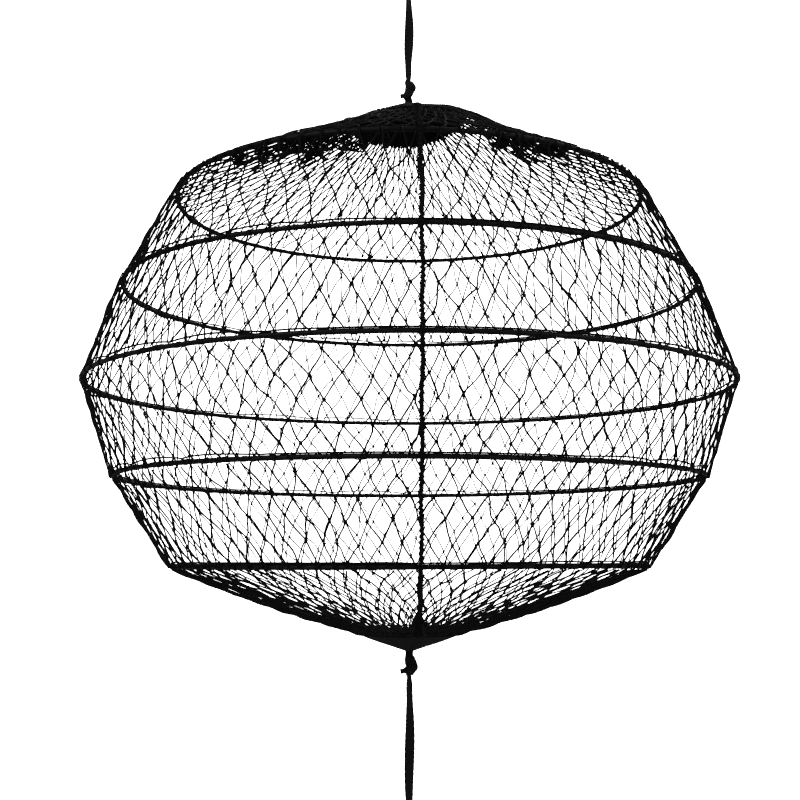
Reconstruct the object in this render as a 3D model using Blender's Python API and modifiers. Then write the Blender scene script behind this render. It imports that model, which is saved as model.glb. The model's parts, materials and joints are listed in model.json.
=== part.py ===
"""A folding lantern-shaped crab trap, hanging open.

Five wire hoops stand one under another inside a net of six panels. The net's gathered ends are covered
by two round caps. A cord laces the front seam, and a flat tape with a loop is knotted to each cap.
Metres, +Z up. The origin is the point where a hook carries the upper loop, so the trap hangs below it.
The seam is at the front (-Y), and the hoops' ferrules are at the left (-X), a little to the back.
"""

import math

import bpy

# ---------------------------------------------------------------- driving dimensions
HANG_LENGTH = 0.176  # holding point down to the crown of the top cap
HOOP_RADII = (0.220, 0.267, 0.300, 0.270, 0.217)  # wire centre line, from the top hoop down
TOP_CONE_HEIGHT = 0.105  # crown to hoop 1
WALL_HEIGHTS = (0.088, 0.089, 0.086, 0.080)  # hoop to hoop
BOTTOM_CONE_HEIGHT = 0.078  # hoop 5 to the lowest point of the bottom cap

WIRE_RADIUS = 0.0021
HOOP_SIDES = 72  # straight pieces in a hoop
BUTT_GAP = 0.001  # between the two ends of a hoop's wire
BUTT_AZIMUTHS = tuple(math.radians(angle) for angle in (168.0, 160.0, 174.0, 164.0, 170.0))

FERRULE_LENGTH = 0.016
FERRULE_WALL = 0.0014
FERRULE_CLEARANCE = 0.0004
FERRULE_PARTS = 4  # straight pieces in a ferrule

NET_THICKNESS = 0.0014
NET_SIDES = 48
NET_TO_WIRE = 0.0042  # along the panel, from the wire's centre to the panel's edge

CAP_RADIUS = 0.055
CAP_THICKNESS = 0.0024
CAP_CROWN_RADIUS = 0.007  # the flat middle under the knot
CAP_CROWN_DROP = 0.10  # how far the middle's rim has come down, as a share of the cap's rise
CAP_SHOULDER_RADIUS = 0.021  # from here outwards the cap lies in the net's cone
CAP_TO_NET = 0.0004

SEAM_RADIUS = 0.0024
SEAM_X = 0.0075  # the seam hangs in the upright plane at this X
SEAM_STAND_OFF = 0.0052  # the cord's centre from a wire's centre, and from the net
SEAM_JOINT_GAP = 0.0012  # each end of a stretch, back from the bend over a hoop
SEAM_TIE_RADII = (0.0065, 0.0050, 0.0042)  # along the seam, across it, out of the net

TAPE_WIDTH = 0.0095
TAPE_THICKNESS = 0.0018
TAPE_PARTS = 12  # straight pieces in a tape
HANG_TAPE_TURNS = (math.radians(10.0), math.radians(190.0))  # which way it faces, top and bottom
BOTTOM_TAPE_TURNS = (math.radians(80.0), math.radians(260.0))
BOTTOM_TAPE_LENGTH = 0.122

KNOT_HEIGHT = 0.020
KNOT_RADIUS = 0.0075
KNOT_SIDES = 16
# Down a knot's side: (share of its radius, share of its height), two humps with a waist between.
KNOT_SIDE = (
    (0.00, 0.00),
    (0.55, 0.02),
    (0.95, 0.20),
    (1.00, 0.34),
    (0.88, 0.50),
    (1.00, 0.66),
    (0.95, 0.80),
    (0.55, 0.98),
    (0.00, 1.00),
)

LOOP_HEIGHT = 0.046
LOOP_HALF_WIDTH = 0.011
LOOP_FLAT = 0.35  # half the flat at the holding end, as a share of the half width
LOOP_BEND_PARTS = 4  # straight pieces in the bend beside that flat
LOOP_WAIST = (0.80, 0.62)  # shares of the half width and of the height, where it starts to close
LOOP_NECK = 0.22  # the half width at the knot, as a share
LOOP_KNOT_HEIGHT = 0.016
LOOP_KNOT_RADIUS = 0.0070
TOUCH_GAP = 0.0003

# ---------------------------------------------------------------- levels worked out from them
CROWN_Z = -HANG_LENGTH
HOOP_LEVELS = [CROWN_Z - TOP_CONE_HEIGHT]
for wall_height in WALL_HEIGHTS:
    HOOP_LEVELS.append(HOOP_LEVELS[-1] - wall_height)
BASE_Z = HOOP_LEVELS[-1] - BOTTOM_CONE_HEIGHT
TOP_CAP_EDGE_Z = CROWN_Z - TOP_CONE_HEIGHT * CAP_RADIUS / HOOP_RADII[0]
BOTTOM_CAP_EDGE_Z = BASE_Z + BOTTOM_CONE_HEIGHT * CAP_RADIUS / HOOP_RADII[-1]

# ---------------------------------------------------------------- scene
for old_object in list(bpy.data.objects):
    bpy.data.objects.remove(old_object)

trap = bpy.data.collections.new("folding_crab_trap")
bpy.context.scene.collection.children.link(trap)


def make_material(name, colour, roughness, metallic=0.0):
    material = bpy.data.materials.new(name)
    material.use_nodes = True
    shader = material.node_tree.nodes["Principled BSDF"]
    shader.inputs["Base Color"].default_value = (*colour, 1.0)
    shader.inputs["Roughness"].default_value = roughness
    shader.inputs["Metallic"].default_value = metallic
    return material


WIRE = make_material("coated_wire", (0.020, 0.020, 0.022), 0.42, 0.3)
FERRULE = make_material("ferrule", (0.060, 0.060, 0.065), 0.38, 0.8)
NET = make_material("net_twine", (0.016, 0.016, 0.017), 0.75)
SEAM = make_material("seam_cord", (0.014, 0.014, 0.015), 0.80)
CAP = make_material("cap_fabric", (0.022, 0.022, 0.024), 0.85)
TAPE = make_material("woven_tape", (0.026, 0.026, 0.028), 0.70)


# ---------------------------------------------------------------- makers
def add_object(name, data, material):
    """Puts the data in the trap's collection under a node name."""
    made = bpy.data.objects.new(name, data)
    made.data.materials.append(material)
    trap.objects.link(made)
    return made


def tube(name, points, radius, material, caps=True):
    """A round bar or cord along points."""
    curve = bpy.data.curves.new(name, "CURVE")
    curve.dimensions = "3D"
    curve.bevel_depth = radius
    curve.bevel_resolution = 2
    curve.use_fill_caps = caps
    spline = curve.splines.new("POLY")
    spline.points.add(len(points) - 1)
    for target, point in zip(spline.points, points):
        target.co = (*point, 1.0)
    return add_object(name, curve, material)


def turned(name, profile, steps, material, closed=False):
    """A profile of (radius, height) pairs turned about Z. Its outer side runs from top to bottom."""
    count = len(profile)
    edges = [(i, i + 1) for i in range(count - 1)]
    if closed:
        edges.append((count - 1, 0))
    mesh = bpy.data.meshes.new(name)
    mesh.from_pydata([(radius, 0.0, height) for radius, height in profile], edges, [])
    made = add_object(name, mesh, material)
    screw = made.modifiers.new("Turn", "SCREW")
    screw.angle = 2.0 * math.pi
    screw.steps = steps
    screw.render_steps = steps
    screw.use_merge_vertices = not closed
    screw.merge_threshold = 0.00005
    screw.use_smooth_shade = True
    return made


def ribbon(name, points, turns, material, cyclic=False):
    """A flat tape along points, turned about its own run by each point's angle."""
    curve = bpy.data.curves.new(name, "CURVE")
    curve.dimensions = "3D"
    curve.twist_mode = "MINIMUM"
    curve.extrude = TAPE_WIDTH / 2.0
    spline = curve.splines.new("POLY")
    spline.points.add(len(points) - 1)
    for target, point, turn in zip(spline.points, points, turns):
        target.co = (*point, 1.0)
        target.tilt = turn
    spline.use_cyclic_u = cyclic
    made = add_object(name, curve, material)
    thicken = made.modifiers.new("Thickness", "SOLIDIFY")
    thicken.thickness = TAPE_THICKNESS
    thicken.offset = 0.0
    thicken.use_even_offset = True
    return made


def knot(name, top, height, radius, material):
    """A tight knot: a barrel with a waist, its top at the level given, on the axis."""
    profile = [(across * radius, top - down * height) for across, down in KNOT_SIDE]
    return turned(name, profile, KNOT_SIDES, material)


def on_seam(radius, height):
    """The point of the front seam at a radius and a level."""
    return (SEAM_X, -math.sqrt(radius**2 - SEAM_X**2), height)


def between(start, end, share):
    return tuple(a + (b - a) * share for a, b in zip(start, end))


def pulled_in(start, end, gap):
    """A straight run with the same gap taken off both ends."""
    share = gap / math.dist(start, end)
    return between(start, end, share), between(start, end, 1.0 - share)


# ---------------------------------------------------------------- hoops and their ferrules
def arc_points(radius, level, first, last, count):
    """Points on a level circle between two angles."""
    steps = [first + (last - first) * i / count for i in range(count + 1)]
    return [(radius * math.cos(a), radius * math.sin(a), level) for a in steps]


for number, radius in enumerate(HOOP_RADII, start=1):
    level, butt = HOOP_LEVELS[number - 1], BUTT_AZIMUTHS[number - 1]
    half_gap = BUTT_GAP / 2.0 / radius
    wire_points = arc_points(
        radius, level, butt + half_gap, butt + 2.0 * math.pi - half_gap, HOOP_SIDES
    )
    tube(f"hoop_{number}", wire_points, WIRE_RADIUS, WIRE)

    half_angle = FERRULE_LENGTH / 2.0 / radius
    sleeve_points = arc_points(
        radius, level, butt - half_angle, butt + half_angle, FERRULE_PARTS
    )
    bore = WIRE_RADIUS + FERRULE_CLEARANCE
    ferrule = tube(f"hoop_{number}_ferrule", sleeve_points, bore, FERRULE, caps=False)
    wall = ferrule.modifiers.new("Wall", "SOLIDIFY")
    wall.thickness = FERRULE_WALL
    wall.offset = 1.0


# ---------------------------------------------------------------- net panels
def outward(upper, lower):
    """The unit vector out of a panel's line, as (radius, height)."""
    length = math.dist(upper, lower)
    return ((upper[1] - lower[1]) / length, (lower[0] - upper[0]) / length)


def net_panel(name, upper, lower):
    """A thin cone of net between two (radius, height) points on its middle surface."""
    across = outward(upper, lower)
    half = NET_THICKNESS / 2.0
    outer = [(r + half * across[0], z + half * across[1]) for r, z in (upper, lower)]
    inner = [(r - half * across[0], z - half * across[1]) for r, z in (lower, upper)]
    return turned(name, outer + inner, NET_SIDES, NET, closed=True)


def shortened(upper, lower, upper_gap, lower_gap):
    """A panel's line with a gap taken off each end."""
    length = math.dist(upper, lower)
    return (
        between(upper, lower, upper_gap / length),
        between(upper, lower, 1.0 - lower_gap / length),
    )


hoop_rings = list(zip(HOOP_RADII, HOOP_LEVELS))
top_cap_edge = (CAP_RADIUS, TOP_CAP_EDGE_Z)
bottom_cap_edge = (CAP_RADIUS, BOTTOM_CAP_EDGE_Z)

net_panel("net_top_cone", *shortened(top_cap_edge, hoop_rings[0], CAP_TO_NET, NET_TO_WIRE))
for number in range(1, len(hoop_rings)):
    upper_ring, lower_ring = hoop_rings[number - 1], hoop_rings[number]
    net_panel(f"net_wall_{number}", *shortened(upper_ring, lower_ring, NET_TO_WIRE, NET_TO_WIRE))
net_panel(
    "net_bottom_cone", *shortened(hoop_rings[-1], bottom_cap_edge, NET_TO_WIRE, CAP_TO_NET)
)


# ---------------------------------------------------------------- caps
def cap(name, crown_z, edge_z):
    """A shallow cone of fabric with a flat middle. It is at the net's level all round its edge."""
    rise = crown_z - edge_z
    up = math.copysign(CAP_THICKNESS / 2.0, rise)
    crown = crown_z - math.copysign(CAP_THICKNESS / 2.0, rise)
    slope = rise / CAP_RADIUS
    shoulder_z = edge_z + slope * (CAP_RADIUS - CAP_SHOULDER_RADIUS)
    middle = [
        (0.0, crown),
        (CAP_CROWN_RADIUS, crown - CAP_CROWN_DROP * rise),
        (CAP_SHOULDER_RADIUS, shoulder_z),
        (CAP_RADIUS, edge_z),
    ]
    outer_side = [(r, z + up) for r, z in middle]
    inner_side = [(r, z - up) for r, z in reversed(middle)]
    profile = outer_side + inner_side
    if rise < 0.0:
        profile.reverse()
    return turned(name, profile, NET_SIDES, CAP)


cap("top_cap", CROWN_Z, TOP_CAP_EDGE_Z)
cap("bottom_cap", BASE_Z, BOTTOM_CAP_EDGE_Z)


# ---------------------------------------------------------------- front seam
def seam_tie(name, centre, along):
    """The knot that holds an end of the seam cord to a cap's edge."""
    bpy.ops.mesh.primitive_uv_sphere_add(segments=12, ring_count=8, radius=1.0)
    made = bpy.context.object
    made.name = name
    made.scale = SEAM_TIE_RADII
    made.location = centre
    pitch = -math.atan2(along[2], math.hypot(along[0], along[1]))
    made.rotation_euler = (0.0, pitch, math.atan2(along[1], along[0]))
    made.data.materials.append(SEAM)
    made.data.shade_smooth()
    for holder in list(made.users_collection):
        holder.objects.unlink(made)
    trap.objects.link(made)
    return made


def stood_off(above, ring, below):
    """A ring's (radius, height) moved out of the net, halfway between the two panels' normals."""
    first, second = outward(above, ring), outward(ring, below)
    out = (first[0] + second[0], first[1] + second[1])
    share = SEAM_STAND_OFF / math.hypot(*out)
    return ring[0] + out[0] * share, ring[1] + out[1] * share


rings = [top_cap_edge] + hoop_rings + [bottom_cap_edge]
bends = [on_seam(*stood_off(*rings[i - 1 : i + 2])) for i in range(1, len(rings) - 1)]

TIE_REACH = SEAM_TIE_RADII[0]


def tie_centre(cap_edge, ring):
    """A point over the net, just past the cap's edge, on the way to the ring."""
    radius, level = between(cap_edge, ring, (TIE_REACH + TOUCH_GAP) / math.dist(cap_edge, ring))
    upper, lower = (cap_edge, ring) if cap_edge[1] > ring[1] else (ring, cap_edge)
    out = outward(upper, lower)
    return on_seam(radius + out[0] * SEAM_STAND_OFF, level + out[1] * SEAM_STAND_OFF)


top_tie = tie_centre(top_cap_edge, hoop_rings[0])
bottom_tie = tie_centre(bottom_cap_edge, hoop_rings[-1])
route = [top_tie] + bends + [bottom_tie]

seam_tie("seam_tie_top", top_tie, [b - a for a, b in zip(top_tie, bends[0])])
seam_tie("seam_tie_bottom", bottom_tie, [b - a for a, b in zip(bottom_tie, bends[-1])])

SEAM_NAMES = ["seam_top"] + [f"seam_wall_{n}" for n in range(1, len(bends))] + ["seam_bottom"]
for name, start, end in zip(SEAM_NAMES, route, route[1:]):
    first, last = pulled_in(start, end, SEAM_JOINT_GAP)
    if name == "seam_top":
        first = pulled_in(start, end, TIE_REACH + TOUCH_GAP)[0]
    if name == "seam_bottom":
        last = pulled_in(start, end, TIE_REACH + TOUCH_GAP)[1]
    tube(name, [first, between(first, last, 0.5), last], SEAM_RADIUS, SEAM)


# ---------------------------------------------------------------- tapes, knots and loops
def tape_run(name, top, bottom, first_turn, last_turn):
    """A taut tape down the axis that turns evenly between two angles."""
    shares = [i / TAPE_PARTS for i in range(TAPE_PARTS + 1)]
    points = [(0.0, 0.0, top + (bottom - top) * s) for s in shares]
    turns = [first_turn + (last_turn - first_turn) * s for s in shares]
    return ribbon(name, points, turns, TAPE)


def loop(name, holding_z, way):
    """A closed eye of tape. Its inner face at the holding end is flat and lies at holding_z.

    way is -1 for an eye that hangs below its holding end, and 1 for one that stands above it.
    """
    crown = holding_z - way * TAPE_THICKNESS / 2.0
    neck = holding_z + way * (LOOP_HEIGHT - TAPE_THICKNESS)
    width = LOOP_HALF_WIDTH
    right_side = [(LOOP_FLAT * width, crown)]
    for step in range(1, LOOP_BEND_PARTS + 1):
        angle = math.pi / 2.0 * step / LOOP_BEND_PARTS
        across = LOOP_FLAT + (1.0 - LOOP_FLAT) * math.sin(angle)
        right_side.append((across * width, crown + way * width * (1.0 - math.cos(angle))))
    right_side.append((LOOP_WAIST[0] * width, crown + way * LOOP_WAIST[1] * LOOP_HEIGHT))
    right_side.append((LOOP_NECK * width, neck))
    left_side = [(-x, z) for x, z in reversed(right_side)]
    points = [(x, 0.0, z) for x, z in right_side + left_side]
    return ribbon(name, points, [math.pi / 2.0] * len(points), TAPE, cyclic=True)


LOOP_KNOT_TOP = -LOOP_HEIGHT - TOUCH_GAP
TAPE_TOP = LOOP_KNOT_TOP - LOOP_KNOT_HEIGHT - TOUCH_GAP
KNOT_TOP = CROWN_Z + KNOT_HEIGHT + TOUCH_GAP
loop("hang_loop", 0.0, -1.0)
knot("hang_loop_knot", LOOP_KNOT_TOP, LOOP_KNOT_HEIGHT, LOOP_KNOT_RADIUS, TAPE)
tape_run("hang_tape", TAPE_TOP, KNOT_TOP + TOUCH_GAP, *HANG_TAPE_TURNS)
knot("top_knot", KNOT_TOP, KNOT_HEIGHT, KNOT_RADIUS, TAPE)

LOWER_KNOT_TOP = BASE_Z - TOUCH_GAP
LOWER_TAPE_TOP = LOWER_KNOT_TOP - KNOT_HEIGHT - TOUCH_GAP
LOWER_TAPE_END = LOWER_TAPE_TOP - BOTTOM_TAPE_LENGTH
LOWER_LOOP_KNOT_TOP = LOWER_TAPE_END - TOUCH_GAP
LOWER_HOLDING_Z = LOWER_LOOP_KNOT_TOP - LOOP_KNOT_HEIGHT - TOUCH_GAP - LOOP_HEIGHT
knot("bottom_knot", LOWER_KNOT_TOP, KNOT_HEIGHT, KNOT_RADIUS, TAPE)
tape_run("bottom_tape", LOWER_TAPE_TOP, LOWER_TAPE_END, *BOTTOM_TAPE_TURNS)
knot("bottom_loop_knot", LOWER_LOOP_KNOT_TOP, LOOP_KNOT_HEIGHT, LOOP_KNOT_RADIUS, TAPE)
loop("bottom_loop", LOWER_HOLDING_Z, 1.0)
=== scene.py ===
"""The looks of a folding crab trap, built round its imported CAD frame.

Metres, +Z up, in the CAD's own frame: a hook carries the trap at the origin and it hangs below.
The net is made bar by bar and knot by knot. A place on it is an azimuth and a row: rows count down the
trap from the top cap's edge, half a mesh each, and columns count round it. Whatever repeats is one
array of lines, which tubes() turns into a mesh in one go.
"""

import json
import math

import bpy
import numpy as np
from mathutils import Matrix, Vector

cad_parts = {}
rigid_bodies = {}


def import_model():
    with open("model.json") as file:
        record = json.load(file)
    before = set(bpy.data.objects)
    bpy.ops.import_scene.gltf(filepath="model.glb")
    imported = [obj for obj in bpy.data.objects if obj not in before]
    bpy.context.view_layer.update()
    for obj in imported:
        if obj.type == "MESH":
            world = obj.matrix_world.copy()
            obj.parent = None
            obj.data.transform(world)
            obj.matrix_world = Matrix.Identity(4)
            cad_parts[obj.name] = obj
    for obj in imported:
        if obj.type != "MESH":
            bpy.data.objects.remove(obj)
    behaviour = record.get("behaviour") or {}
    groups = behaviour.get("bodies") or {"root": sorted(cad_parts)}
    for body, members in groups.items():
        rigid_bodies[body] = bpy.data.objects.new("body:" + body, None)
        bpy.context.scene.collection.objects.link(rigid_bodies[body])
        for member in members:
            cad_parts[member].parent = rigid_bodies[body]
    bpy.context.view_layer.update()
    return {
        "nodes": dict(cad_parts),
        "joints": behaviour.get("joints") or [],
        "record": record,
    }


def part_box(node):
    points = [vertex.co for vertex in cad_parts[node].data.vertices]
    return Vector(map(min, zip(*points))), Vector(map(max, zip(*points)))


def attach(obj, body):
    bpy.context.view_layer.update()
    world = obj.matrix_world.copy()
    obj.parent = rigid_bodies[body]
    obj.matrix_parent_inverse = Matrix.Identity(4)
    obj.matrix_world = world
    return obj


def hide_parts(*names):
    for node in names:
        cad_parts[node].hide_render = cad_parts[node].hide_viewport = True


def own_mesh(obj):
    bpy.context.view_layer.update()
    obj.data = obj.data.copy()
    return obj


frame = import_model()

# -------------------- sizes of the fine pieces
TWINE_RADIUS = 0.00072
MESHES_ROUND = 86
PANEL_ROWS = (8.0, 4.15, 4.4, 4.95, 4.7, 7.0)  # half meshes in each panel, from the top cone down
PANEL_BULGES = (0.0, 0.0, 0.0, 0.0, 0.0, 0.0028)  # how far a panel stands out halfway down
BAR_POINTS = 5
BAR_BOW = 0.042  # how far a bar bows aside, as a share of a mesh
BAR_KINK = 0.024
BAR_LIFT = 0.0007  # how far it lifts off the net's surface
WAVE_ASIDE = 0.30  # how far the whole net is pulled off its even grid, in meshes and in rows
WAVE_ALONG = 0.26
KNOT_SLIP = 0.09  # how far single knots are pulled off it
ODDS_LIMIT = 2.2  # the net's own random draws are held to this many standard deviations
KNOT_SIZE = 0.00038  # a third of the reach of a knot's centre line
KNOT_POINTS = 15

BUNCHES = (  # azimuth in degrees, how far it hangs down, half its width
    (-132.0, 0.009, 0.006),
    (-125.0, 0.015, 0.005),
    (-118.0, 0.010, 0.008),
    (-113.5, 0.026, 0.005),
    (-110.0, 0.018, 0.006),
    (-104.0, 0.015, 0.008),
    (-98.0, 0.010, 0.006),
    (-69.0, 0.009, 0.006),
    (-64.0, 0.015, 0.006),
    (-57.0, 0.008, 0.007),
)
BUNCH_STRANDS = 7
BUNCH_POINTS = 34
FULLNESS = 0.0115  # how far the top cone stands out on its right side
FULLNESS_RADIUS = 0.062

LASH_RADIUS = 0.00038
LASH_TURNS = 2.45  # round the wire, from one mesh to the next
LASH_TIGHT, LASH_LOOSE = 15, 4  # points in the tight turns, and in the loose run after them
LASH_SLACK = 0.0024  # how far a loose run stands off at most
RUN_LINE_RADIUS = 0.00078
RUN_LINE_LIFTS = (0.0, 0.0022, 0.0027, 0.0027, 0.0009)  # how far it stands above each hoop between ties
RUN_LINE_TIES = 21
RUN_LINE_SLACK = math.radians(222.0)  # where it hangs loosest
HOOP_STEPS = 300
FERRULE_RADIUS = 0.0034
FERRULE_LENGTH = 0.016

SEAM_STAND_OFF = 0.0052  # as in the CAD: the cord's centre from a wire's centre, and from the net
SEAM_END_STAND_OFF = 0.0030  # at the caps' edges
SEAM_SAG = 0.0022  # how much nearer the net it lies halfway between two hoops
SEAM_STRAND = 0.00086
SEAM_TURN_RADIUS = 0.00042  # the twine wound round the seam cord
SEAM_TURN_PITCH = 0.0048
SEAM_HITCH_PITCH = 0.0064
SEAM_LAY = 0.0125  # one full turn of the three strands
SEAM_GATHERS = {0: (0.20, 0.009), 5: (0.42, 0.0115)}  # by panel: share of its length, half width in metres
GATHER_RADIUS = 0.0010
TIE_DROP = 0.0024  # how much nearer the net a seam's tie lies than the CAD's
TIE_SIZE = (0.0056, 0.0040, 0.0022)  # half its length, width and depth
TIE_TURNS = 8.0

TAPE_WIDTH = 0.0093
TAPE_THICKNESS = 0.0026
KNOT_HEIGHT = 0.020  # of the tape's knot that the strand's section below is given for
KNOT_STRAND = (0.0046, 0.0034)
INTO_CAP = 0.0055  # how far the tape runs on past its knot, through the cap's crown
HANG_TURNS = (-70.0, -52.0, -20.0, 14.0, 52.0, 58.0)  # the tape's angles down its run, in degrees
BOTTOM_TURNS = (58.0, 56.0, 26.0, -8.0, -34.0, -58.0)
NEAR_KNOTS = {  # by end: the cut end's side and drop, how far the knot sits aside, how fat it is
    "top": ((-1.0, -0.0055), 0.0006, 1.16),
    "bottom": ((-1.0, -0.0072), 0.0016, 1.12),
}
WHIPPING_RADIUS = 0.00065
WHIPPING_TURNS = 5.0
WHIPPING_HEIGHT = 0.0052

CAP_SHELL = 0.0011
PLEAT_DEPTH = 0.0007
HEM_GROOVE = 0.0482  # the radius of the groove just inside the hem's stitches
HEM_STITCHES = 118
RIM_STITCHES = 58

# -------------------- places read from the frame
HOOPS = [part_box(f"hoop_{number}") for number in range(1, 6)]
WIRE_RADIUS = (HOOPS[0][1].z - HOOPS[0][0].z) / 2.0
HOOP_RINGS = [(high.x - WIRE_RADIUS, (low.z + high.z) / 2.0) for low, high in HOOPS]
CAP_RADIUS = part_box("top_cap")[1].x
TOP_CROWN_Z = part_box("top_cap")[1].z
BOTTOM_CROWN_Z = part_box("bottom_cap")[0].z
TOP_EDGE = (CAP_RADIUS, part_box("net_top_cone")[1].z)
BOTTOM_EDGE = (CAP_RADIUS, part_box("net_bottom_cone")[0].z)
RINGS = [TOP_EDGE] + HOOP_RINGS + [BOTTOM_EDGE]
SEAM_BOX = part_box("seam_wall_2")
SEAM_X = (SEAM_BOX[0].x + SEAM_BOX[1].x) / 2.0  # the seam hangs in the upright plane at this X
RIGHT = np.array((1.0, 0.0, 0.0))
UP = np.array((0.0, 0.0, 1.0))
SKEW = (0.3, 0.5, 0.8)  # a direction that no wound line runs along


# ==================== meshes from lines
def unit(vectors):
    return vectors / np.linalg.norm(vectors, axis=-1, keepdims=True)


class Mould:
    """Gathers points and faces for one mesh. Each corner has a UV: metres along, and share round."""

    def __init__(self):
        self.points, self.corners, self.sizes, self.uvs = [], [], [], []
        self.total = 0

    def add_points(self, points):
        first = self.total
        self.points.append(points.reshape(-1, 3))
        self.total += len(self.points[-1])
        return first

    def add_faces(self, faces, uvs):
        self.corners.append(faces.reshape(-1))
        self.sizes.append(np.full(len(faces), faces.shape[1]))
        self.uvs.append(np.broadcast_to(uvs, (*faces.shape, 2)).reshape(-1, 2))

    def made(self, name, material):
        """The mesh as a smooth-shaded object in the scene."""
        points = np.concatenate(self.points)
        corners = np.concatenate(self.corners)
        sizes = np.concatenate(self.sizes)
        mesh = bpy.data.meshes.new(name)
        mesh.vertices.add(len(points))
        mesh.vertices.foreach_set("co", points.astype(np.float32).reshape(-1))
        mesh.loops.add(len(corners))
        mesh.loops.foreach_set("vertex_index", corners.astype(np.int32))
        mesh.polygons.add(len(sizes))
        starts = np.concatenate([[0], np.cumsum(sizes)[:-1]])
        mesh.polygons.foreach_set("loop_start", starts.astype(np.int32))
        layer = mesh.uv_layers.new(name="run")
        flat = np.concatenate(self.uvs).astype(np.float32).reshape(-1)
        layer.uv.foreach_set("vector", flat)
        mesh.update(calc_edges=True)
        mesh.validate()
        mesh.shade_smooth()
        mesh.materials.append(material)
        made = bpy.data.objects.new(name, mesh)
        bpy.context.scene.collection.objects.link(made)
        return made


def carried(lines, start):
    """Two unit vectors square to each line at each point, carried along it without twisting."""
    runs = unit(np.gradient(lines, axis=1))
    side = np.broadcast_to(start, lines[:, 0].shape)
    across = np.empty_like(runs)
    for place in range(lines.shape[1]):
        run = runs[:, place]
        side = unit(side - run * (side * run).sum(-1, keepdims=True))
        across[:, place] = side
    return across, np.cross(runs, across)


def tubes(mould, lines, radii, sides, start, outline=None, turns=None):
    """Adds a tube for each line. lines is (count, points, 3); radii is a number or (count, points).

    start is a vector that isn't along any line. outline is the section's own (across, out) points for
    a radius of 1, and turns is the angle that the section has turned by at each point.
    """
    lines = np.asarray(lines, float)
    count, steps = lines.shape[:2]
    across, out = carried(lines, np.asarray(start, float))
    if turns is not None:
        cos, sin = np.cos(turns)[..., None], np.sin(turns)[..., None]
        across, out = across * cos + out * sin, out * cos - across * sin
    if outline is None:
        angles = math.tau * np.arange(sides) / sides
        outline = np.stack([np.cos(angles), np.sin(angles)], axis=1)
    sides = len(outline)
    reach = np.broadcast_to(radii, (count, steps))[..., None, None]
    ring = across[:, :, None] * outline[:, :1] + out[:, :, None] * outline[:, 1:]
    first = mould.add_points(lines[:, :, None] + ring * reach)

    grid = first + np.arange(count * steps * sides).reshape(count, steps, sides)
    after = np.roll(grid, -1, axis=2)
    quads = np.stack([grid[:, :-1], after[:, :-1], after[:, 1:], grid[:, 1:]], axis=-1)
    stretch = np.linalg.norm(np.diff(lines, axis=1), axis=2)
    along = np.concatenate([np.zeros((count, 1)), np.cumsum(stretch, axis=1)], axis=1)
    along = np.broadcast_to(along[:, :, None], grid.shape)
    round_it = np.broadcast_to(np.arange(sides) / sides, grid.shape)
    beyond = round_it + 1.0 / sides
    low, high = slice(None, -1), slice(1, None)
    quad = ((low, round_it), (low, beyond), (high, beyond), (high, round_it))
    uvs = np.stack([np.stack([along[:, rows], side[:, rows]], axis=-1) for rows, side in quad], axis=-2)
    mould.add_faces(quads.reshape(-1, 4), uvs.reshape(-1, 4, 2))
    mould.add_faces(grid[:, 0, ::-1], np.zeros(2))
    mould.add_faces(grid[:, -1], np.zeros(2))


def tube_object(name, material, line, radii, sides, start, outline=None, turns=None):
    """An object that is one tube along one line."""
    mould = Mould()
    tubes(mould, line[None], radii, sides, start, outline, turns)
    return mould.made(name, material)


def smooth(points, steps):
    """A line of that many points on a smooth curve through the given ones."""
    points = np.asarray(points, float)
    padded = np.concatenate([2 * points[:1] - points[1:2], points, 2 * points[-1:] - points[-2:-1]])
    at = np.linspace(0.0, len(points) - 1.0, steps)
    piece = np.minimum(at.astype(int), len(points) - 2)
    t = (at - piece)[:, None]
    a, b, c, d = (padded[piece + shift] for shift in range(4))
    return 0.5 * (
        2 * b + (c - a) * t + (2 * a - 5 * b + 4 * c - d) * t**2 + (3 * b - a - 3 * c + d) * t**3
    )


def polar(radius, azimuth, height):
    """Points at radii, azimuths and heights round the trap's axis."""
    radius, azimuth, height = np.broadcast_arrays(radius, azimuth, height)
    return np.stack([radius * np.cos(azimuth), radius * np.sin(azimuth), height], axis=-1)


def seam_azimuth(radius):
    """Where the seam's plane meets a circle of that radius."""
    return -np.arccos(SEAM_X / np.asarray(radius))


SEAM_AZIMUTH = float(seam_azimuth(HOOP_RINGS[2][0]))


# ==================== materials
def new_material(name, colour, roughness, specular=0.5, metallic=0.0, sheen=0.0):
    """A material with its plain values on the shader's own sockets. Returns (material, shader)."""
    material = bpy.data.materials.new(name)
    material.use_nodes = True
    shader = material.node_tree.nodes["Principled BSDF"]
    shader.inputs["Base Color"].default_value = (*colour, 1.0)
    shader.inputs["Roughness"].default_value = roughness
    shader.inputs["Specular IOR Level"].default_value = specular
    shader.inputs["Metallic"].default_value = metallic
    shader.inputs["Sheen Weight"].default_value = sheen
    shader.inputs["Sheen Roughness"].default_value = 0.45
    return material, shader


def node(material, kind, inputs=(), **settings):
    """A shader node with its settings and its inputs, each a value or another node's output."""
    made = material.node_tree.nodes.new(kind)
    for key, value in settings.items():
        setattr(made, key, value)
    for key, value in dict(inputs).items():
        if isinstance(value, bpy.types.NodeSocket):
            material.node_tree.links.new(value, made.inputs[key])
        else:
            made.inputs[key].default_value = value
    return made


def maths(material, operation, first, second=0.0):
    made = node(material, "ShaderNodeMath", {0: first, 1: second}, operation=operation)
    return made.outputs[0]


def run_uv(material):
    """(metres along, share round) of a tube, as two outputs."""
    uv = node(material, "ShaderNodeUVMap", uv_map="run")
    split = node(material, "ShaderNodeSeparateXYZ", {0: uv.outputs[0]})
    return split.outputs[0], split.outputs[1]


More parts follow.
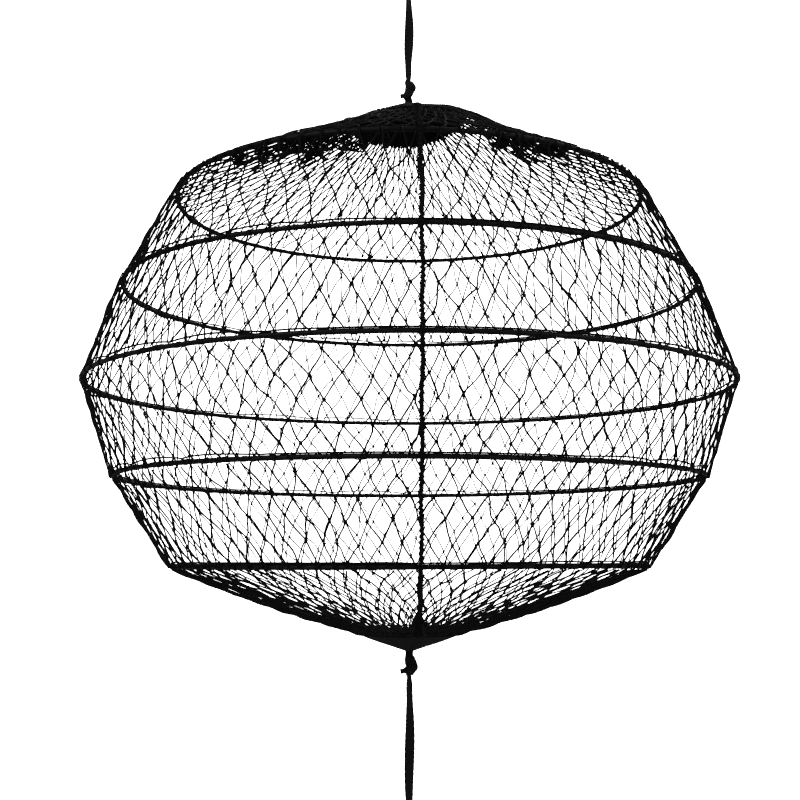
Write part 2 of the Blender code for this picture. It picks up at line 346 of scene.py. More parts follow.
def noise(material, scale, detail=3.0, roughness=0.55):
    """Noise over the object's own space, 0 to 1."""
    place = node(material, "ShaderNodeTexCoord").outputs["Object"]
    inputs = {"Vector": place, "Scale": scale, "Detail": detail, "Roughness": roughness}
    return node(material, "ShaderNodeTexNoise", inputs).outputs["Fac"]


def ramp(material, factor, low, high, start=0.3, end=0.7):
    """A colour between two colours, as the factor goes from start to end."""
    made = node(material, "ShaderNodeValToRGB", {0: factor})
    stops = made.color_ramp.elements
    stops[0].position, stops[1].position = start, end
    stops[0].color, stops[1].color = (*low, 1.0), (*high, 1.0)
    return made.outputs[0]


def spread(material, factor, low, high):
    """A number between two numbers, as the factor goes from 0 to 1."""
    made = node(material, "ShaderNodeMapRange", {"Value": factor, "To Min": low, "To Max": high})
    return made.outputs[0]


def bump(material, shader, heights, distance, strength=1.0):
    """Chains bumps, each a height output and its own share of the distance."""
    normal = None
    for height, share in heights:
        inputs = {"Height": height, "Distance": distance * share, "Strength": strength}
        if normal is not None:
            inputs["Normal"] = normal
        normal = node(material, "ShaderNodeBump", inputs).outputs[0]
    material.node_tree.links.new(normal, shader.inputs["Normal"])


def dressed(material, shader, colour, roughness, heights, distance):
    """The material with its colour, its roughness and its bumps linked to the shader."""
    material.node_tree.links.new(colour, shader.inputs["Base Color"])
    material.node_tree.links.new(roughness, shader.inputs["Roughness"])
    bump(material, shader, heights, distance)
    return material


def ripple(material, distance, pitch):
    """A sine wave along a distance, -1 to 1, with one cycle for each pitch."""
    return maths(material, "SINE", maths(material, "MULTIPLY", distance, math.tau / pitch))


def halved(material, wave):
    """A wave of -1 to 1 brought to 0 to 1."""
    return maths(material, "ADD", maths(material, "MULTIPLY", wave, 0.5), 0.5)


def ply_height(material, plies, lay):
    """The rounded ridges of twisted plies, 0 in the grooves and 1 on top."""
    along, share = run_uv(material)
    turns = maths(material, "DIVIDE", along, lay)
    phase = maths(material, "ADD", maths(material, "MULTIPLY", share, plies), turns)
    wave = maths(material, "SINE", maths(material, "MULTIPLY", phase, math.pi))
    return maths(material, "ABSOLUTE", wave)


def twine_material(name, plies, lay, grey, groove):
    """Tarred black twine: twisted plies with dull dusty tops, and painted shade that darkens the grooves
    between them.
    """
    material, shader = new_material(name, (grey, grey, grey), 0.75, specular=0.22, sheen=0.04)
    ridges = ply_height(material, plies, lay)
    dust = noise(material, 140.0)
    fibre = noise(material, 2600.0, detail=4.0)
    # painted shade: the colour follows the plies' height, dark in the grooves and paler on the tops, and
    # dust noise scales it
    groove_shade_and_mottle = maths(material, "MULTIPLY", ridges, spread(material, dust, 0.35, 1.0))
    colour = ramp(
        material, groove_shade_and_mottle, (0.35 * grey, 0.35 * grey, 0.38 * grey), (1.5 * grey, 1.5 * grey, 1.45 * grey)
    )
    roughness = spread(material, dust, 0.62, 0.88)
    return dressed(material, shader, colour, roughness, [(ridges, 1.0), (fibre, 0.18)], groove)


def wire_material():
    """Wire in a black plastic coat: satin, rubbed shinier in places, with fine scuffs."""
    material, shader = new_material("coated_wire", (0.008, 0.008, 0.009), 0.42, specular=0.35)
    rubbed = noise(material, 55.0)
    scuffs = noise(material, 900.0, detail=5.0, roughness=0.7)
    colour = ramp(material, scuffs, (0.006, 0.006, 0.007), (0.022, 0.022, 0.023), 0.55, 0.8)
    roughness = spread(material, rubbed, 0.3, 0.62)
    return dressed(material, shader, colour, roughness, [(rubbed, 1.0), (scuffs, 0.3)], 0.00025)


def ferrule_material():
    """Blackened metal, worn paler on its rubbed places and pitted in others."""
    material, shader = new_material("ferrule", (0.05, 0.05, 0.05), 0.45, metallic=0.85)
    wear = noise(material, 420.0, detail=5.0)
    pits = noise(material, 1800.0, detail=2.0)
    colour = ramp(material, wear, (0.022, 0.022, 0.024), (0.13, 0.125, 0.12), 0.45, 0.72)
    roughness = spread(material, wear, 0.6, 0.3)
    return dressed(material, shader, colour, roughness, [(pits, 1.0), (wear, 0.6)], 0.00012)


def weave_height(material, pitch):
    """A plain weave on the 'run' UV, whose two directions are both in metres."""
    along, across = run_uv(material)
    over = maths(material, "MULTIPLY", ripple(material, along, pitch), ripple(material, across, pitch))
    return halved(material, over)


def cap_material():
    """Close-woven black cloth, faded in patches, with a slubby surface and painted shade between its
    threads.
    """
    material, shader = new_material("cap_fabric", (0.01, 0.01, 0.01), 0.85, specular=0.2, sheen=0.08)
    weave = weave_height(material, 0.0011)
    patches = noise(material, 45.0, detail=4.0)
    slubs = noise(material, 900.0, detail=3.0)
    # painted shade: the colour follows the weave's height, dark between the threads, and the faded patches
    # scale it
    groove_shade_and_mottle = maths(material, "MULTIPLY", weave, spread(material, patches, 0.3, 1.1))
    colour = ramp(material, groove_shade_and_mottle, (0.004, 0.004, 0.0045), (0.020, 0.020, 0.021), 0.1, 0.8)
    roughness = spread(material, patches, 0.75, 0.95)
    return dressed(material, shader, colour, roughness, [(weave, 1.0), (slubs, 0.5)], 0.00028)


def tape_material():
    """Woven tape: ribs across it in a herringbone, greyer where it has been handled, with painted shade in
    the grooves between the ribs.
    """
    material, shader = new_material("woven_tape", (0.012, 0.012, 0.013), 0.7, specular=0.3, sheen=0.06)
    along, share = run_uv(material)
    folded = maths(material, "PINGPONG", share, 0.125)
    slant = maths(material, "ADD", along, maths(material, "MULTIPLY", folded, 0.02))
    ribs = halved(material, ripple(material, slant, 0.0013))
    wear = noise(material, 160.0, detail=4.0)
    fibre = noise(material, 2200.0, detail=4.0)
    # painted shade: the colour follows the ribs' height, dark in the grooves between them, and handling
    # wear scales it
    groove_shade_and_mottle = maths(material, "MULTIPLY", ribs, spread(material, wear, 0.3, 1.2))
    colour = ramp(material, groove_shade_and_mottle, (0.005, 0.005, 0.0055), (0.030, 0.030, 0.031), 0.1, 0.9)
    roughness = spread(material, wear, 0.55, 0.85)
    return dressed(material, shader, colour, roughness, [(ribs, 1.0), (fibre, 0.3)], 0.00030)


NET = twine_material("net_twine", plies=2.0, lay=0.0034, grey=0.010, groove=0.00022)
SEAM = twine_material("seam_cord", plies=3.0, lay=0.0040, grey=0.010, groove=0.00025)
WIRE = wire_material()
FERRULE = ferrule_material()
CAP = cap_material()
TAPE = tape_material()

MATERIALS = {
    "net_twine": NET,
    "seam_cord": SEAM,
    "coated_wire": WIRE,
    "ferrule": FERRULE,
    "cap_fabric": CAP,
    "woven_tape": TAPE,
}


# ==================== the camera, as the trap is seen
LENS = 56.79
CAMERA_PLACE = (-0.0085, -1.181, -0.6216)
CAMERA_TILT = math.radians(7.39)  # up from level


def add_camera():
    """In front of the trap, level with its lowest hoop, tilted up to hold the whole net."""
    data = bpy.data.cameras.new("camera")
    data.lens = LENS
    data.sensor_width = 36.0
    camera = bpy.data.objects.new("camera", data)
    camera.location = CAMERA_PLACE
    camera.rotation_euler = (math.pi / 2.0 + CAMERA_TILT, 0.0, 0.0)
    bpy.context.scene.collection.objects.link(camera)
    bpy.context.scene.camera = camera


add_camera()


# ==================== how pieces follow the frame
def rides(piece, body, slot, *nodes):
    """The piece stands for these CAD nodes and moves with the body."""
    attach(piece, body)
    if nodes:
        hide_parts(*nodes)
    return piece


def folds_with(piece, cad_node, slot):
    """The piece stands for a CAD node that a joint deforms: it moves with that joint's parent body and has
    its own copy of its mesh.
    """
    for joint in frame["joints"]:
        if cad_node in [row["node"] for row in joint["deforming_nodes"]]:
            rides(piece, joint["parent"], slot, cad_node)
            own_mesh(piece)


# ==================== the net
def outward(upper, lower):
    """The unit vector out of a panel, as (radius, height)."""
    length = math.dist(upper, lower)
    return np.array(((upper[1] - lower[1]) / length, (lower[0] - upper[0]) / length))


PANEL_OUT = np.array([outward(a, b) for a, b in zip(RINGS, RINGS[1:])])
NET_OUT = WIRE_RADIUS + TWINE_RADIUS


def net_rings():
    """(radius, height) of each panel's upper and lower edge.

    Every edge lies on the side of its wire that the panel leaves by when the trap is folded flat:
    on the outside of the smaller hoop, and on top of or under the larger one.
    """
    uppers, lowers = [], []
    for index, out in enumerate(PANEL_OUT * NET_OUT):
        widens = RINGS[index + 1][0] > RINGS[index][0]
        on_top, under = np.array((0.0, NET_OUT)), np.array((0.0, -NET_OUT))
        uppers.append(RINGS[index] + (out if widens else under))
        lowers.append(RINGS[index + 1] + (on_top if widens else out))
    uppers[0] = RINGS[0] - PANEL_OUT[0] * CAP_SHELL
    lowers[5] = np.array(RINGS[6])
    return np.array(uppers), np.array(lowers)


UPPER_EDGES, LOWER_EDGES = net_rings()
ROW_MARKS = np.concatenate([[0.0], np.cumsum(PANEL_ROWS)])
LAST_ROW = ROW_MARKS[-1]


def fullness(radius, azimuth):
    """How far the top cone's right side stands out, most of all at the cap's edge."""
    share = (radius / FULLNESS_RADIUS) ** 2
    return FULLNESS * share * np.exp(1.0 - share) * np.cos(azimuth).clip(0.0, 1.0) ** 1.5


def surface(azimuth, row, panel):
    """Points of a panel of the net at azimuths and rows, and the unit vectors out of it there."""
    share = (row - ROW_MARKS[panel]) / PANEL_ROWS[panel]
    place = UPPER_EDGES[panel] + (LOWER_EDGES[panel] - UPPER_EDGES[panel]) * share[..., None]
    stand_out = PANEL_BULGES[panel] * np.sin(np.pi * np.clip(share, 0.0, 1.0))
    if panel == 0:
        stand_out = stand_out + fullness(place[..., 0], azimuth)
    place = place + PANEL_OUT[panel] * stand_out[..., None]
    out = polar(PANEL_OUT[panel][0], azimuth, PANEL_OUT[panel][1])
    return polar(place[..., 0], azimuth, place[..., 1]), out


def waves(random, count, strength):
    """Soft waves over the net: the sum of a few, as a function of azimuth and row."""
    around = random.integers(2, 12, count)
    down = random.uniform(0.12, 0.75, count) * random.choice((-1.0, 1.0), count)
    phase = random.uniform(0.0, math.tau, count)
    size = random.uniform(0.5, 1.0, count) * strength / math.sqrt(count)

    def height(azimuth, row):
        parts = azimuth[..., None] * around + row[..., None] * down + phase
        return (np.sin(parts) * size).sum(-1)

    return height


def net_grid():
    """Azimuths and rows of every knot, (rows, meshes round), pulled a little off the even grid."""
    random = np.random.default_rng(11)
    rows = np.arange(math.ceil(LAST_ROW) + 1)
    column = np.arange(MESHES_ROUND)
    pitch = math.tau / MESHES_ROUND
    azimuth = SEAM_AZIMUTH + (column[None] + 0.5 * (rows[:, None] % 2)) * pitch
    row = np.broadcast_to(rows[:, None].astype(float), azimuth.shape)
    aside, along = waves(random, 9, WAVE_ASIDE), waves(random, 9, WAVE_ALONG)
    slip = random.normal(0.0, 1.0, (2, *azimuth.shape)).clip(-ODDS_LIMIT, ODDS_LIMIT)
    settle = np.sin(np.pi * np.clip(row / LAST_ROW, 0.0, 1.0)) ** 0.3
    new_azimuth = azimuth + pitch * (aside(azimuth, row) + KNOT_SLIP * slip[0])
    new_row = row + settle * (along(azimuth, row) + KNOT_SLIP * slip[1])
    return new_azimuth, new_row


KNOT_AZIMUTHS, KNOT_ROWS = net_grid()


def net_bars():
    """Every bar of the net: (start azimuth, turn, start row, rows down), each a flat array."""
    bars = []
    for row in range(len(KNOT_ROWS) - 1):
        steps = (0, 1) if row % 2 else (0, -1)
        for step in steps:
            end_azimuth = np.roll(KNOT_AZIMUTHS[row + 1], -step)
            end_row = np.roll(KNOT_ROWS[row + 1], -step)
            turn = (end_azimuth - KNOT_AZIMUTHS[row] + math.pi) % math.tau - math.pi
            bars.append((KNOT_AZIMUTHS[row], turn, KNOT_ROWS[row], end_row - KNOT_ROWS[row]))
    return np.concatenate(bars, axis=1)


BARS = net_bars()
BAR_RANDOM = np.random.default_rng(23).normal(0.0, 1.0, (4, BARS.shape[1])).clip(-ODDS_LIMIT, ODDS_LIMIT)
KNOT_RANDOM = np.random.default_rng(29).uniform(0.0, 1.0, (4, *KNOT_ROWS.shape))


def add_bars(mould, panel):
    """The bars, or the stretches of them, that lie in a panel."""
    first, last = ROW_MARKS[panel], ROW_MARKS[panel + 1]
    azimuth, turn, row, down = BARS
    enter = np.clip((first - row) / down, 0.0, 1.0)
    leave = np.clip((last - row) / down, 0.0, 1.0)
    kept = leave - enter > 0.02
    azimuth, turn, row, down, enter, leave = (
        values[kept, None] for values in (azimuth, turn, row, down, enter, leave)
    )
    bow, kink, lift, thick = (values[kept, None] for values in BAR_RANDOM)
    share = enter + (leave - enter) * np.linspace(0.0, 1.0, BAR_POINTS)
    column = math.tau / MESHES_ROUND
    bend = BAR_BOW * bow * np.sin(np.pi * share) + BAR_KINK * kink * np.sin(2 * np.pi * share)
    aside = column * bend
    lines, out = surface(azimuth + turn * share + aside, row + down * share, panel)
    lines = lines + out * (BAR_LIFT * lift * np.sin(np.pi * share))[..., None]
    uneven = 0.07 * thick + 0.09 * np.sin(7.0 * share + 5.0 * kink)
    radii = TWINE_RADIUS * (1.0 + uneven)
    tubes(mould, lines, radii, 5, out[:, 0])


def knot_path():
    """The centre line of a knot about its own middle, three times KNOT_SIZE from it at most."""
    t = np.linspace(0.0, 1.94 * math.pi, KNOT_POINTS)
    flat = [np.sin(t) + 2.0 * np.sin(2.0 * t), np.cos(t) - 2.0 * np.cos(2.0 * t)]
    return np.stack([*flat, -1.25 * np.sin(3.0 * t)], axis=1) * KNOT_SIZE


def add_knots(mould, panel):
    """A knot at every crossing in a panel, each turned its own way."""
    chosen = (KNOT_ROWS >= ROW_MARKS[panel]) & (KNOT_ROWS < ROW_MARKS[panel + 1])
    azimuth, row = KNOT_AZIMUTHS[chosen], KNOT_ROWS[chosen]
    turn, lean, size, stretch = (values[chosen] for values in KNOT_RANDOM)
    centre, out = surface(azimuth, row, panel)
    level = unit(np.cross(UP, out))
    upward = np.cross(out, level)
    angle = (math.tau * turn)[:, None]
    one = level * np.cos(angle) + upward * np.sin(angle)
    two = upward * np.cos(angle) - level * np.sin(angle)
    out = unit(out + 0.5 * one * (lean[:, None] - 0.5))
    path = knot_path()
    scale = (0.85 + 0.4 * size)[:, None, None]
    lines = centre[:, None] + scale * (
        path[None, :, :1] * one[:, None] * (0.85 + 0.4 * stretch)[:, None, None]
        + path[None, :, 1:2] * two[:, None]
        + path[None, :, 2:] * out[:, None]
    )
    tubes(mould, lines, TWINE_RADIUS * 0.9, 5, UP + 0.01)


def bunch(mould, azimuth, drop, size, random):
    """Slack net drawn up into a tangle that hangs from the top hoop, inside the net."""
    radius, level = HOOP_RINGS[0]
    t = np.linspace(0.0, 1.0, BUNCH_POINTS)
    lines = []
    for _ in range(BUNCH_STRANDS):
        rates = random.uniform(4.0, 12.0, 3)
        phases = random.uniform(0.0, math.tau, 3)
        wander = np.sin(t[:, None] * rates + phases) * (1.5 * size, 0.004, size) * (0.4 + 0.6 * t[:, None])
        start = azimuth + random.uniform(-1.0, 1.0) * 1.2 * size / radius
        inwards = 0.006 + 0.006 * random.uniform() + wander[:, 1].clip(-0.004, 0.004)
        height = level + 0.001 - drop * np.sin(0.5 * math.pi * t) ** 2 * random.uniform(0.6, 1.0)
        lines.append(polar(radius - inwards, start + wander[:, 0] / radius, height + 0.5 * wander[:, 2]))
    tubes(mould, np.array(lines), TWINE_RADIUS * 1.15, 5, SKEW)


def bunched_net():
    """The places where slack net is caught up under the top hoop."""
    random = np.random.default_rng(31)
    mould = Mould()
    for place, drop, size in BUNCHES:
        bunch(mould, math.radians(place), drop, size, random)
    return rides(mould.made("bunched_net", NET), "hoop_1", "net_twine")


NET_NODES = ["net_top_cone"] + [f"net_wall_{n}" for n in range(1, 5)] + ["net_bottom_cone"]
for index, cad_node in enumerate(NET_NODES):
    mould = Mould()
    add_bars(mould, index)
    add_knots(mould, index)
    panel = mould.made(cad_node.replace("net", "knotted"), NET)
    folds_with(panel, cad_node, "net_twine")
bunched_net()


# ==================== hoops, lashing and ferrules
def hoop_points(index, azimuth):
    """The wire's centre at azimuths, a touch out of true."""
    radius, level = HOOP_RINGS[index]
    bend = 0.0004 * np.sin(3.0 * azimuth + 1.7 * index) + 0.0003 * np.sin(5.0 * azimuth + index)
    lift = 0.0006 * np.sin(2.0 * azimuth + 2.3 * index)
    return polar(radius + bend, azimuth, level + lift)


def butt_azimuth(index):
    """Where the two ends of a hoop's wire meet, inside its ferrule."""
    low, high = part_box(f"hoop_{index + 1}_ferrule")
    return math.atan2(low.y + high.y, low.x + high.x)


def hoop_wire(index):
    butt = butt_azimuth(index)
    azimuth = np.linspace(butt + 0.002, butt + math.tau - 0.002, HOOP_STEPS)
    return tube_object(f"wire_hoop_{index + 1}", WIRE, hoop_points(index, azimuth), WIRE_RADIUS, 12, UP)


def lashing(index):
    """Twine that ties the net to a hoop: two tight turns at each mesh, and a loose run to the next."""
    random = np.random.default_rng(40 + index)
    tight, loose = np.linspace(0.0, 1.0, LASH_TIGHT), np.linspace(0.36, 0.88, LASH_LOOSE)
    hitch = np.concatenate([tight * 0.20, loose])
    winding = np.concatenate([np.linspace(0.0, 2.0, LASH_TIGHT), np.linspace(2.1, 2.42, LASH_LOOSE)])
    count = MESHES_ROUND
    shift = random.normal(0.0, 0.10, count)
    share = (np.arange(count)[:, None] + shift[:, None] + hitch).reshape(-1)
    azimuth = SEAM_AZIMUTH + math.tau * np.sort(share) / count
    turn = math.tau * (LASH_TURNS * np.arange(count)[:, None] + winding).reshape(-1)
    slack = np.sin(4.3 * np.arange(count) / count * math.tau + 2.1 * index)
    slack = slack * random.uniform(0.4, 1.0, count)
    stand_off = (0.0032 * (slack - 0.42) + random.normal(0.0, 0.0003, count)).clip(0.0, LASH_SLACK)
    lifted = np.concatenate([np.zeros(LASH_TIGHT), np.sin(np.pi * np.linspace(0.2, 0.8, LASH_LOOSE))])
    reach = WIRE_RADIUS + 0.6 * LASH_RADIUS + (stand_off[:, None] * lifted).reshape(-1)
    centre = hoop_points(index, azimuth)
    out = polar(1.0, azimuth, 0.0)
    line = centre + reach[:, None] * (out * np.cos(turn)[:, None] + UP * np.sin(turn)[:, None])
    return tube_object(f"lashing_{index + 1}", NET, line, LASH_RADIUS, 5, SKEW)


def run_line(index):
    """The net's edge cord, which lies on a hoop and lifts off it between the ties over some stretches."""
    azimuth = np.linspace(0.0, math.tau, 4 * HOOP_STEPS + 1)
    stretch = np.clip(np.cos(3.0 * (azimuth - RUN_LINE_SLACK) + 0.5 * (index - 2)) + 0.35, 0.0, 1.0)
    between = np.abs(np.sin(0.5 * RUN_LINE_TIES * azimuth + 0.7 * index)) ** 0.7
    lift = WIRE_RADIUS + RUN_LINE_RADIUS + RUN_LINE_LIFTS[index] * stretch * between
    line = hoop_points(index, azimuth) + UP * lift[:, None]
    return tube_object(f"run_line_{index + 1}", NET, line, RUN_LINE_RADIUS, 6, polar(1.0, 0.0, 0.0))


def ferrule(index):
    """A crimped sleeve over the two ends of a hoop's wire."""
    half = FERRULE_LENGTH / 2.0 / HOOP_RINGS[index][0]
    share = np.linspace(-1.0, 1.0, 49)
    crimps = np.exp(-(((np.abs(share) - 0.42) / 0.13) ** 2))
    ends = np.clip((np.abs(share) - 0.9) / 0.1, 0.0, 1.0)
    reach = FERRULE_RADIUS * (1.0 - 0.17 * crimps - 0.16 * ends**2)
    line = hoop_points(index, butt_azimuth(index) + share * half)
    return tube_object(f"crimped_ferrule_{index + 1}", FERRULE, line, reach[None], 20, UP)


for index in range(5):
    body = f"hoop_{index + 1}"
    rides(hoop_wire(index), body, "coated_wire", f"hoop_{index + 1}")
    rides(lashing(index), body, "net_twine")
    if RUN_LINE_LIFTS[index] > 0.0:
        rides(run_line(index), body, "net_twine")
    rides(ferrule(index), body, "ferrule", f"hoop_{index + 1}_ferrule")


# ==================== the front seam
def stood_off(index):
    """A ring's (radius, height) moved out of the net by the seam cord's stand-off."""
    if index in (0, 6):
        return np.array(RINGS[index]) + PANEL_OUT[min(index, 5)] * SEAM_END_STAND_OFF
    out = PANEL_OUT[index - 1] + PANEL_OUT[index]
    return np.array(RINGS[index]) + out / np.linalg.norm(out) * SEAM_STAND_OFF


SEAM_BENDS = [stood_off(index) for index in range(7)]
SEAM_NODES = ["seam_top"] + [f"seam_wall_{n}" for n in range(1, 5)] + ["seam_bottom"]


def seam_centre(index, share):
    """The seam's centre line down a panel, and the unit vectors out of the net there."""
    start, end = SEAM_BENDS[index], SEAM_BENDS[index + 1]
    place = start + (end - start) * share[:, None]
    sag = SEAM_SAG * np.sin(np.pi * share) - PANEL_BULGES[index] * np.sin(np.pi * share)
    place = place - PANEL_OUT[index] * sag[:, None]
    azimuth = seam_azimuth(place[:, 0])
    out = polar(PANEL_OUT[index][0], azimuth, PANEL_OUT[index][1])
    sway = 0.0006 * np.sin(9.0 * share + 2.0 * index) * np.sin(np.pi * share)
    return polar(place[:, 0], azimuth, place[:, 1]) + RIGHT * sway[:, None], out


def seam_cord(index):
    """Three strands laid together."""
    length = math.dist(SEAM_BENDS[index], SEAM_BENDS[index + 1])
    steps = int(length / 0.0011)
    centre, out = seam_centre(index, np.linspace(0.0, 1.0, steps))
    turn = math.tau * np.linspace(0.0, length / SEAM_LAY, steps)
    strands = []
    for strand in range(3):
        angle = (turn + strand * math.tau / 3.0)[:, None]
        strands.append(centre + SEAM_STRAND * 1.08 * (out * np.cos(angle) + RIGHT * np.sin(angle)))
    mould = Mould()
    tubes(mould, np.array(strands), SEAM_STRAND, 6, RIGHT)
    return mould


def add_lacing(mould, index):
    """Twine wound tightly round the seam cord, with a small hitch at one side or the other."""
    random = np.random.default_rng(60 + index)
    length = math.dist(SEAM_BENDS[index], SEAM_BENDS[index + 1])
    turns = round(length / SEAM_TURN_PITCH)
    share = np.linspace(0.01, 0.99, turns * 10)
    centre, out = seam_centre(index, share)
    angle = (math.tau * turns * share)[:, None]
    reach = 2.0 * SEAM_STRAND + 0.7 * SEAM_TURN_RADIUS
    line = centre + reach * (out * np.cos(angle) + RIGHT * np.sin(angle))
    tubes(mould, line[None], SEAM_TURN_RADIUS, 5, SKEW)

    count = round(length / SEAM_HITCH_PITCH)
    share = (np.arange(count) + 0.5 + random.uniform(-0.25, 0.25, count)) / count
    centre, out = seam_centre(index, share)
    side = np.where(np.arange(count) % 2, 1.0, -1.0) * random.uniform(0.9, 1.15, count)
    middle = centre + RIGHT * (0.62 * side * reach)[:, None] - out * 0.0012
    size = random.uniform(0.8, 1.25, count)[:, None, None]
    path = knot_path()[None] * size
    tilt = random.uniform(0.0, math.tau, count)[:, None, None]
    flat = path[..., :1] * np.cos(tilt) - path[..., 1:2] * np.sin(tilt)
    tall = path[..., :1] * np.sin(tilt) + path[..., 1:2] * np.cos(tilt)
    lines = middle[:, None] + flat * RIGHT + tall * UP + path[..., 2:] * out[:, None]
    tubes(mould, lines, LASH_RADIUS, 5, UP + 0.01)


def add_gathers(mould, index, reach, width):
    """Net drawn in beside the seam's end, in pleats that spread towards the cap's edge."""
    ways = np.linspace(-1.0, 1.0, 13)
    near = np.linspace(0.0, 1.0, 12)
    share = 1.0 - reach * (1.0 - near) if index else reach * (1.0 - near)
    centre, out = seam_centre(index, share)
    aside = width * ways[:, None] * near**1.3 + 0.0006 * np.sin(9.0 * near + 4.0 * ways[:, None])
    sunk = 0.0022 + 0.0010 * np.cos(7.0 * ways)
    lines = centre + RIGHT * aside[..., None] - out * sunk[:, None, None]
    tubes(mould, lines, GATHER_RADIUS, 5, SKEW)


for index, cad_node in enumerate(SEAM_NODES):
    mould = seam_cord(index)
    add_lacing(mould, index)
    if index in SEAM_GATHERS:
        add_gathers(mould, index, *SEAM_GATHERS[index])
    stretch = mould.made(cad_node.replace("seam", "laced_seam"), SEAM)
    folds_with(stretch, cad_node, "seam_cord")


def seam_tie(name, cap_edge, ring, body, cad_node):
    """A wound knot at the cap's edge, with strands that fan out from it under the hem."""
    low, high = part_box(cad_node)
    slope = unit(np.array(ring) - np.array(cap_edge))
    away = np.array((0.0, -slope[0], slope[1]))
    out = np.cross(away, RIGHT)
    out = out * math.copysign(1.0, -out[1])
    middle = np.array((low + high) / 2.0) - out * TIE_DROP
    t = np.linspace(0.0, 1.0, 110)
    tip, turn = math.pi * (0.08 + 0.84 * t), math.tau * TIE_TURNS * t
    ball = (
        away * (np.cos(tip) * TIE_SIZE[0])[:, None]
        + RIGHT * (np.sin(tip) * np.cos(turn) * TIE_SIZE[1])[:, None]
        + out * (np.sin(tip) * np.sin(turn) * TIE_SIZE[2])[:, None]
    )
    mould = Mould()
    tubes(mould, (middle + ball)[None], 0.0010, 6, SKEW)
    fan = np.linspace(-1.0, 1.0, 15)[:, None]
    down = np.linspace(0.0, 1.0, 8)[None]
    start = middle + away * 0.012
    lines = (
        start
        - away * (0.022 * down)[..., None]
        + RIGHT * (0.015 * fan * down**1.4)[..., None]
        - out * (0.0030 + 0.0016 * down + 0.0008 * np.cos(9.0 * fan) - TIE_DROP)[..., None]
    )
    tubes(mould, lines, 0.0009, 5, out)
    return rides(mould.made(name, SEAM), body, "seam_cord", cad_node)


seam_tie("top_seam_knot", TOP_EDGE, HOOP_RINGS[0], "top", "seam_tie_top")
seam_tie("bottom_seam_knot", BOTTOM_EDGE, HOOP_RINGS[4], "bottom", "seam_tie_bottom")


# ==================== caps and what is gathered in them
def uneven_azimuths(random, count, slip):
    """Azimuths of things spaced round the trap, each off its even place by a share of the spacing."""
    return math.tau * (np.arange(count) + random.normal(0.0, slip, count)) / count


def cap_height(radius, azimuth, crown_z, edge_z):
    """The height of a cap's cloth, which lies in the net's own cone."""
    rise = crown_z - edge_z
    full = fullness(radius, azimuth) if rise > 0.0 else 0.0
    return edge_z + rise * (1.0 - radius / CAP_RADIUS) + full


def cap(name, crown_z, edge_z, body, cad_node, seed):
    """A round of cloth, gathered in soft pleats, with a doubled hem. It is a closed shell."""
    random = np.random.default_rng(seed)
    rim = CAP_RADIUS + 0.0008
    radius = np.concatenate([np.linspace(0.0028, 0.046, 24), np.linspace(0.0475, rim, 10)])
    azimuth = np.linspace(0.0, math.tau, 289)[:-1]
    r, a = np.meshgrid(radius, azimuth, indexing="ij")
    counts, phases = np.array((9, 14, 23, 37)), random.uniform(0.0, math.tau, 4)
    folds = (np.sin(a[..., None] * counts + phases) * (0.45, 0.35, 0.3, 0.2)).sum(-1)
    full = np.exp(-(((r - 0.030) / 0.012) ** 2))
    up = math.copysign(1.0, crown_z - edge_z)
    middle = cap_height(r, a, crown_z, edge_z) + up * PLEAT_DEPTH * full * folds
    hem = 0.0002 * np.clip((r - 0.0485) / 0.0012, 0.0, 1.0)
    groove = -0.0006 * np.exp(-(((r - HEM_GROOVE) / 0.0008) ** 2))
    round_hem = np.sqrt(np.clip((rim - r) / 0.0012, 0.0, 1.0))
    thick = (CAP_SHELL / 2.0 + hem * round_hem + groove) * round_hem.clip(0.25, 1.0)
    mould = Mould()
    flat = polar(r, a, 0.0)[..., :2]
    add_sheet(mould, polar(r, a, middle + thick), flat, turned_over=False)
    add_sheet(mould, polar(r, a, middle - thick), flat, turned_over=True)
    join_rims(mould, r.shape, flat)
    return rides(mould.made(name, CAP), body, "cap_fabric", cad_node)


def add_sheet(mould, grid, flat, turned_over):
    """A round sheet as a (rings, azimuths) grid of points, with its flat places as UVs."""
    rings, around = grid.shape[:2]
    first = mould.add_points(grid)
    at = first + np.arange(rings * around).reshape(rings, around)
    beside, uv_beside = np.roll(at, -1, axis=1), np.roll(flat, -1, axis=1)
    quads = np.stack([at[:-1], at[1:], beside[1:], beside[:-1]], axis=-1)
    uvs = np.stack([flat[:-1], flat[1:], uv_beside[1:], uv_beside[:-1]], axis=-2)
    if turned_over:
        quads, uvs = quads[..., ::-1], uvs[..., ::-1, :]
    mould.add_faces(quads.reshape(-1, 4), uvs.reshape(-1, 4, 2))


def join_rims(mould, shape, flat):
    """Closes a sheet's two faces along its inner and its outer rim."""
    rings, around = shape
    size = rings * around
    first = mould.total - 2 * size
    at = first + np.arange(size).reshape(rings, around)
    beside, uv_beside = np.roll(at, -1, axis=1), np.roll(flat, -1, axis=1)
    for ring, flip in ((0, True), (rings - 1, False)):
        quads = np.stack([at[ring], at[ring] + size, beside[ring] + size, beside[ring]], axis=-1)
        uvs = np.stack([flat[ring], flat[ring], uv_beside[ring], uv_beside[ring]], axis=-2)
        if flip:
            quads, uvs = quads[:, ::-1], uvs[:, ::-1]
        mould.add_faces(quads, uvs)


